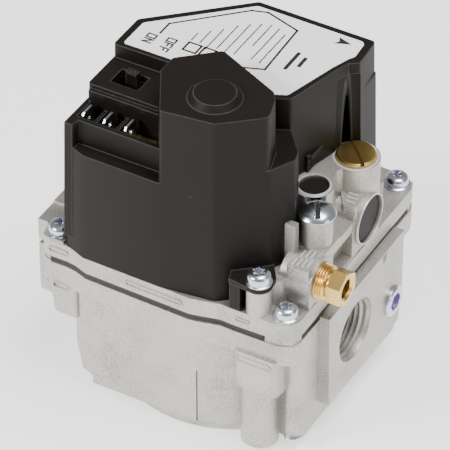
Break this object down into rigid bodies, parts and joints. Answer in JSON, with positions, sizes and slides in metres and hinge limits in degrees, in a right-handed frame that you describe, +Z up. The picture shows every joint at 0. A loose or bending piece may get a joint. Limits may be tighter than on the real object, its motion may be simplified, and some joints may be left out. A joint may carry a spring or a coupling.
{
  "type": "gas valve",
  "caption": "Combination gas valve: cast lower body with threaded ports, upper casting with regulator and pilot outlet, stepped black cover over two solenoids, slide switch and spade terminals.",
  "frame": {"origin": "centre of the bounding box in X and Y, at its lowest level", "axes": "+X towards the outlet port and the pilot fitting, +Y away from the terminals, +Z up through the cover"},
  "size_m": [0.1098, 0.0926, 0.1296],
  "materials": {
    "casting": "speckled die casting, satin",
    "black": "satin moulded plastic",
    "rubber": "dull nitrile rubber",
    "brass": "machined brass",
    "zinc": "bright zinc-plated steel",
    "steel": "plain stainless steel",
    "label": "white printed film",
    "coil": "wound wire under varnish",
    "board": "phenolic sheet"
  },
  "bodies": {
    "valve_body": {"lower_body": "casting", "upper_casting": "casting", "bottom_pan": "casting", "cover": "black", "blanking_plug": "black", "vent_plug": "black", "switch_base": "black", "body_gasket": "rubber", "main_diaphragm": "rubber", "regulator_diaphragm": "rubber", "terminal_strip": "brass", "seat_ring": "brass", "regulator_ring": "brass", "flange_screw_front_right": "zinc", "flange_screw_back_right": "zinc", "flange_screw_back_left": "zinc", "flange_screw_front_left": "zinc", "cover_screw": "zinc", "outlet_tap_plug": "zinc", "inlet_tap_plug": "zinc", "frame_a": "zinc", "frame_b": "zinc", "clip_a": "zinc", "clip_b": "zinc", "pan_screw_1": "zinc", "pan_screw_2": "zinc", "pan_screw_3": "zinc", "pan_screw_4": "zinc", "switch_contact": "steel", "terminal_1": "steel", "terminal_2": "steel", "terminal_3": "steel", "core_tube_a": "steel", "core_tube_b": "steel", "pole_a": "steel", "pole_b": "steel", "plunger_spring_a": "steel", "plunger_spring_b": "steel", "main_spring": "steel", "regulator_spring": "steel", "inlet_screen": "steel", "rating_label": "label", "coil_a": "coil", "coil_b": "coil", "terminal_board": "board"},
    "switch": {"switch_knob": "black"},
    "plunger_a": {"plunger_a": "steel", "plunger_seal_a": "rubber"},
    "plunger_b": {"plunger_b": "steel", "plunger_seal_b": "rubber"},
    "main_valve": {"valve_disc": "rubber", "diaphragm_plate": "zinc"},
    "regulator_follower": {"regulator_spring_cup": "zinc"},
    "regulator_adjuster": {"regulator_adjuster": "brass"},
    "regulator_poppet": {"regulator_poppet": "zinc"},
    "regulator_cap": {"regulator_cap": "brass"},
    "pilot_cover_screw": {"pilot_cover_screw": "zinc"},
    "pilot_nut": {"pilot_nut": "brass"}
  },
  "joints": [
    {"name": "switch_slide", "type": "slide", "parent": "valve_body", "child": "switch", "axis": [1, 0, 0], "range_m": [-0.002, 0.0015]},
    {"name": "plunger_a_lift", "type": "slide", "parent": "valve_body", "child": "plunger_a", "axis": [0, 0, 1], "range_m": [0, 0.0025], "stiffness_N_per_m": 200, "springref_m": -0.004, "deforming": ["plunger_spring_a"]},
    {"name": "plunger_b_lift", "type": "slide", "parent": "valve_body", "child": "plunger_b", "axis": [0, 0, 1], "range_m": [0, 0.0025], "stiffness_N_per_m": 200, "springref_m": -0.004, "deforming": ["plunger_spring_b"]},
    {"name": "main_valve_lift", "type": "slide", "parent": "valve_body", "child": "main_valve", "axis": [0, 0, 1], "range_m": [0, 0.003], "stiffness_N_per_m": 300, "springref_m": -0.008, "deforming": ["main_spring"]},
    {"name": "regulator_follower_slide", "type": "slide", "parent": "valve_body", "child": "regulator_follower", "axis": [0, 0, 1], "range_m": [-0.003, 0], "deforming": ["regulator_spring"]},
    {"name": "regulator_adjuster_turn", "type": "hinge", "parent": "regulator_follower", "child": "regulator_adjuster", "pos_m": [0.0376, 0.01183, 0.077], "axis": [0, 0, 1], "range_deg": [-1085, 0]},
    {"name": "regulator_poppet_slide", "type": "slide", "parent": "valve_body", "child": "regulator_poppet", "axis": [0, 0, 1], "range_m": [-0.0006, 0]},
    {"name": "regulator_cap_turn", "type": "hinge", "parent": "valve_body", "child": "regulator_cap", "pos_m": [0.0376, 0.01183, 0.087], "axis": [0, 0, 1], "range_deg": [0, 360]},
    {"name": "pilot_cover_screw_turn", "type": "hinge", "parent": "valve_body", "child": "pilot_cover_screw", "pos_m": [0.0392, -0.01727, 0.0842], "axis": [0, 0, 1], "range_deg": [0, 360]},
    {"name": "pilot_nut_turn", "type": "hinge", "parent": "valve_body", "child": "pilot_nut", "pos_m": [0.0476, -0.02507, 0.0645], "axis": [1, 0, 0], "range_deg": [0, 360]}
  ],
  "couplings": [
    {"joint": "regulator_adjuster_turn", "follows": "regulator_follower_slide", "rad_per_m": 6283.2}
  ]
}
